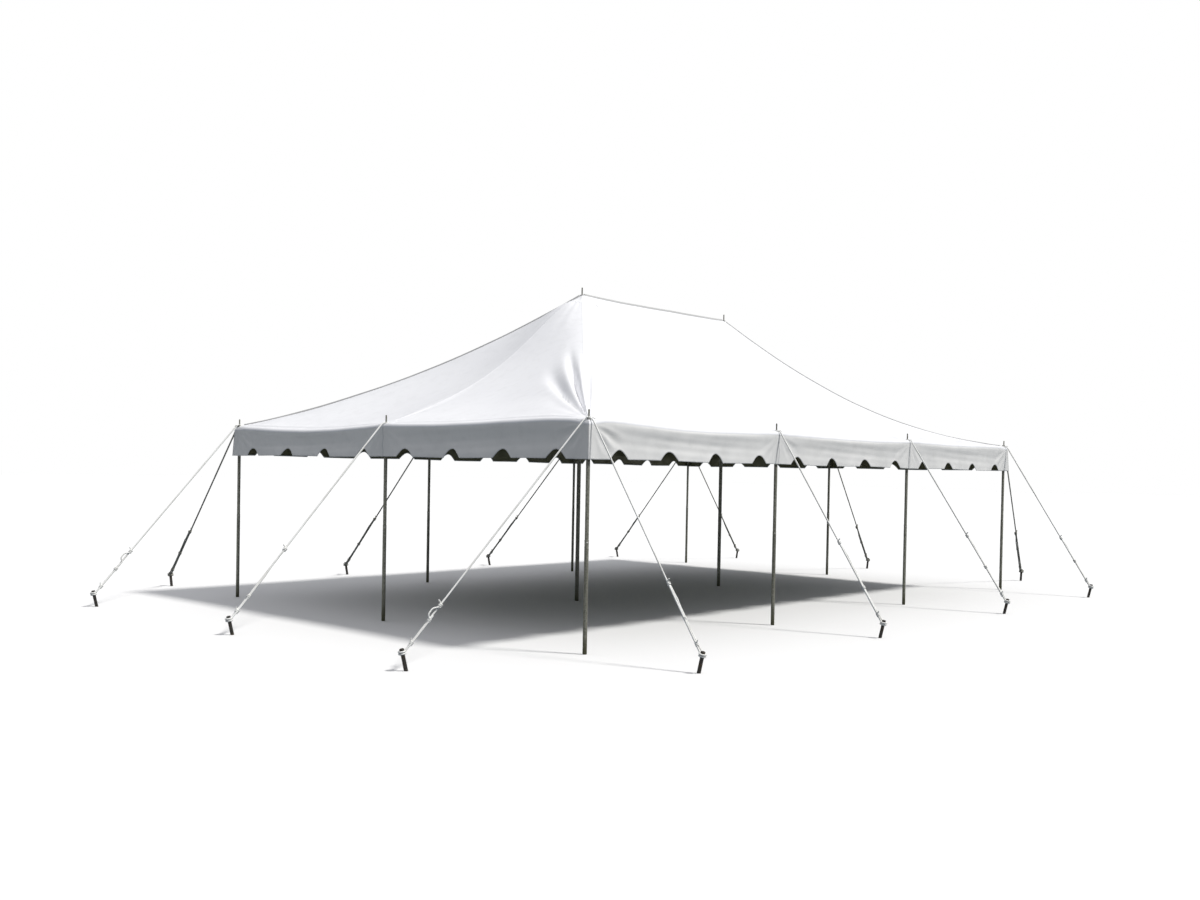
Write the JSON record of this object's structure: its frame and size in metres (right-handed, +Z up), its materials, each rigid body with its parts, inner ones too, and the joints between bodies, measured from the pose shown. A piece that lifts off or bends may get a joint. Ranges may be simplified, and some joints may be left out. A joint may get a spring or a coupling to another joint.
{
  "type": "marquee tent",
  "caption": "White peg-and-pole marquee tent: hipped vinyl roof on two centre poles, scalloped valance, side poles, guy ropes and stakes",
  "frame": {"origin": "on the ground, under the middle of the box round tent and stakes", "axes": "X runs along the 30 ft sides, Y across the 20 ft width with the front side facing -Y, Z up"},
  "size_m": [12.7308, 9.273, 4.048],
  "materials": {
    "roof_vinyl": "white coated vinyl fabric, satin",
    "valance_vinyl": "white coated vinyl fabric, satin",
    "centre_pole_steel": "dull grey steel tube",
    "side_pole_steel": "dull olive-grey steel tube",
    "rope": "white twisted synthetic rope",
    "stake_steel": "black round bar, dull"
  },
  "bodies": {
    "root": {"front_roof_panel": "roof_vinyl", "back_roof_panel": "roof_vinyl", "left_end_roof_panel": "roof_vinyl", "right_end_roof_panel": "roof_vinyl", "front_valance": "valance_vinyl", "back_valance": "valance_vinyl", "left_valance": "valance_vinyl", "right_valance": "valance_vinyl", "centre_pole_left": "centre_pole_steel", "centre_pole_right": "centre_pole_steel", "corner_pole_front_left": "side_pole_steel", "corner_pole_front_right": "side_pole_steel", "corner_pole_back_left": "side_pole_steel", "corner_pole_back_right": "side_pole_steel", "side_pole_front_left": "side_pole_steel", "side_pole_front_right": "side_pole_steel", "side_pole_back_left": "side_pole_steel", "side_pole_back_right": "side_pole_steel", "end_pole_left": "side_pole_steel", "end_pole_right": "side_pole_steel", "guy_rope_front_1": "rope", "guy_rope_front_2": "rope", "guy_rope_front_3": "rope", "guy_rope_front_4": "rope", "guy_rope_back_1": "rope", "guy_rope_back_2": "rope", "guy_rope_back_3": "rope", "guy_rope_back_4": "rope", "guy_rope_left_1": "rope", "guy_rope_left_2": "rope", "guy_rope_left_3": "rope", "guy_rope_right_1": "rope", "guy_rope_right_2": "rope", "guy_rope_right_3": "rope", "stake_front_1": "stake_steel", "stake_front_2": "stake_steel", "stake_front_3": "stake_steel", "stake_front_4": "stake_steel", "stake_back_1": "stake_steel", "stake_back_2": "stake_steel", "stake_back_3": "stake_steel", "stake_back_4": "stake_steel", "stake_left_1": "stake_steel", "stake_left_2": "stake_steel", "stake_left_3": "stake_steel", "stake_right_1": "stake_steel", "stake_right_2": "stake_steel", "stake_right_3": "stake_steel"}
  },
  "joints": []
}
